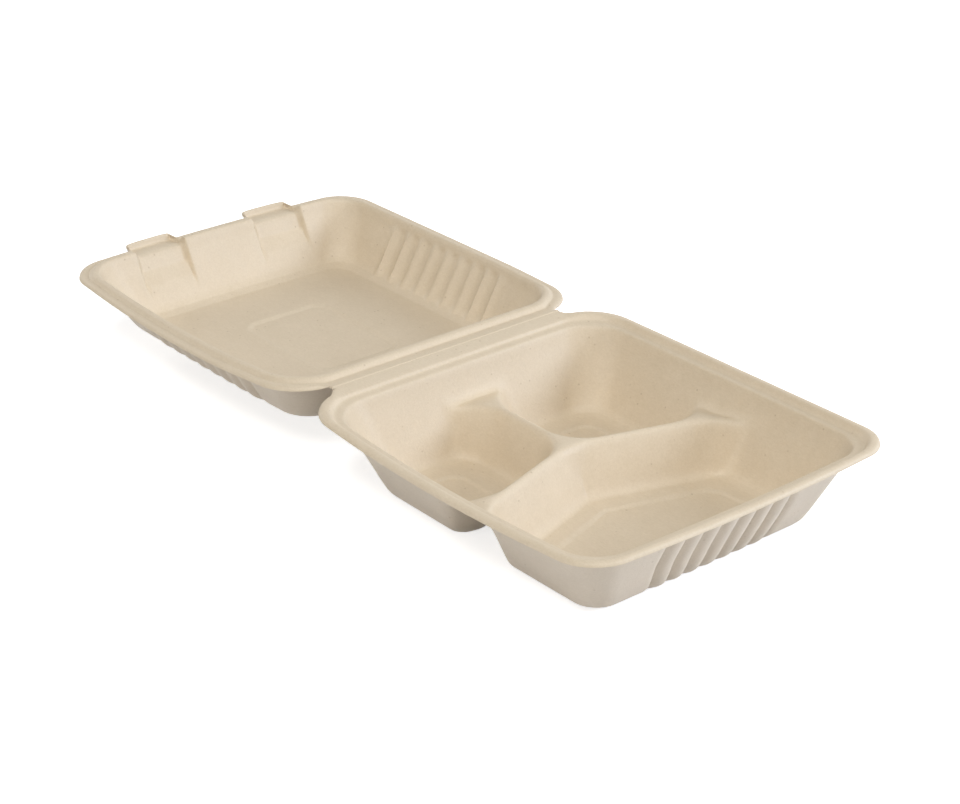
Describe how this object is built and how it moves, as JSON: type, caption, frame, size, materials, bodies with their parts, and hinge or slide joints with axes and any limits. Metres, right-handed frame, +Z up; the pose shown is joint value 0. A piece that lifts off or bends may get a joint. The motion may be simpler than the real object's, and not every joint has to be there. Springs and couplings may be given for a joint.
{
  "type": "meal box",
  "caption": "Hinged takeaway meal box pressed from natural sugarcane pulp, with a divided tray, a fluted lid and locking lugs.",
  "frame": {"origin": "on the ground, under the middle of the open box, midway between the front of the tray and the ends of the lid's lugs", "axes": "+X along the fold, +Y from the tray to the open lid, +Z up"},
  "size_m": [0.2, 0.4412, 0.047],
  "materials": {
    "pulp": "matt pressed pulp with a faint sheen"
  },
  "bodies": {
    "base": {"tray": "pulp"},
    "cover": {"lid": "pulp"}
  },
  "joints": [
    {"name": "lid_hinge", "type": "hinge", "parent": "base", "child": "cover", "pos_m": [0, -0.00309, 0.0458], "axis": [1, 0, 0], "range_deg": [0, 180]}
  ]
}
